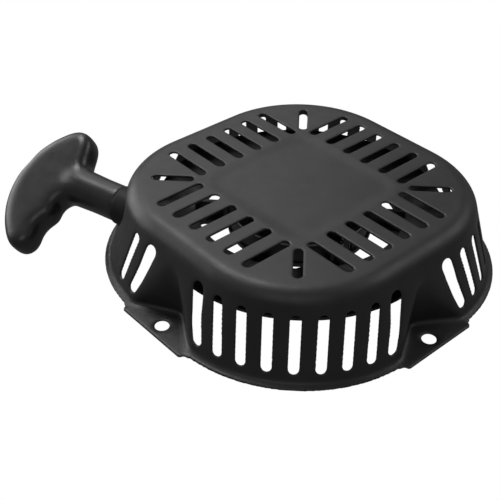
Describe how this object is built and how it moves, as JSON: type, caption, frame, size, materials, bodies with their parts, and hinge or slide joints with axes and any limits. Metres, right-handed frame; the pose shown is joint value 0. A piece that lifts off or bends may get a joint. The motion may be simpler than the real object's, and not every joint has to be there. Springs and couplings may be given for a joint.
{
  "type": "recoil starter",
  "caption": "Pressed-steel pull-start unit for a small engine: slotted rounded-square cover, rope reel with spring and pawls, and a T-shaped rope handle.",
  "frame": {"origin": "centre of the mounting plane, on the reel's axis and the bolt circle's centre", "axes": "+Z along the reel's axis away from the engine; +X and +Y through two neighbouring mounting ears; the handle leaves the lobe between -X and -Y"},
  "size_m": [0.2481, 0.2372, 0.0546],
  "materials": {
    "cover_paint": "satin black powder coat on pressed steel, fine orange peel",
    "grip_plastic": "satin moulded black, soft sheen",
    "guide_nylon": "smooth black nylon",
    "reel_plastic": "glass-filled black nylon, slightly mottled",
    "rope_fibre": "braided polyester cord, off-white",
    "spring_steel": "blued strip, lightly oiled",
    "zinc_steel": "zinc plated",
    "hard_steel": "hardened, ground",
    "screw_black": "black oxide"
  },
  "bodies": {
    "housing": {"starter_case": "cover_paint", "rope_guide": "guide_nylon", "centre_post": "zinc_steel", "thrust_washer": "hard_steel", "friction_spring": "spring_steel", "retaining_washer": "zinc_steel", "centre_screw": "zinc_steel", "rope_run": "rope_fibre"},
    "reel": {"reel": "reel_plastic", "rope_coil": "rope_fibre", "reel_knot": "rope_fibre", "main_spring": "spring_steel", "spring_cover": "zinc_steel", "cover_screws": "screw_black", "pawl_pins": "hard_steel", "pawl_springs": "spring_steel"},
    "pawl_a": {"pawl_a": "hard_steel"},
    "pawl_b": {"pawl_b": "hard_steel"},
    "ratchet_guide": {"ratchet_guide": "zinc_steel"},
    "handle": {"handle_grip": "grip_plastic", "handle_rope": "rope_fibre", "rope_seat": "zinc_steel", "handle_knot": "rope_fibre", "handle_cap": "grip_plastic"}
  },
  "joints": [
    {"name": "reel_spin", "type": "hinge", "parent": "housing", "child": "reel", "pos_m": [0, 0, 0.027], "axis": [0, 0, 1], "range_deg": [-654, 0], "stiffness_Nm_per_rad": 0.04, "springref_deg": 1080.03, "deforming": ["main_spring"]},
    {"name": "handle_pull", "type": "slide", "parent": "housing", "child": "handle", "axis": [-0.9681, -0.2504, 0], "range_m": [0, 0.8]},
    {"name": "guide_lag", "type": "hinge", "parent": "reel", "child": "ratchet_guide", "pos_m": [0, 0, 0.0116], "axis": [0, 0, 1], "range_deg": [0, 25], "stiffness_Nm_per_rad": 0.02, "springref_deg": -11.46},
    {"name": "pawl_a_swing", "type": "hinge", "parent": "reel", "child": "pawl_a", "pos_m": [0.031, 0, 0.0155], "axis": [0, 0, 1], "range_deg": [0, 30], "deforming": ["pawl_springs"]},
    {"name": "pawl_b_swing", "type": "hinge", "parent": "reel", "child": "pawl_b", "pos_m": [-0.031, 0, 0.0155], "axis": [0, 0, 1], "range_deg": [0, 30]}
  ],
  "couplings": [
    {"joint": "handle_pull", "follows": "reel_spin", "m_per_rad": -0.07},
    {"joint": "pawl_a_swing", "follows": "guide_lag", "ratio": 1.2},
    {"joint": "pawl_b_swing", "follows": "guide_lag", "ratio": 1.2}
  ]
}
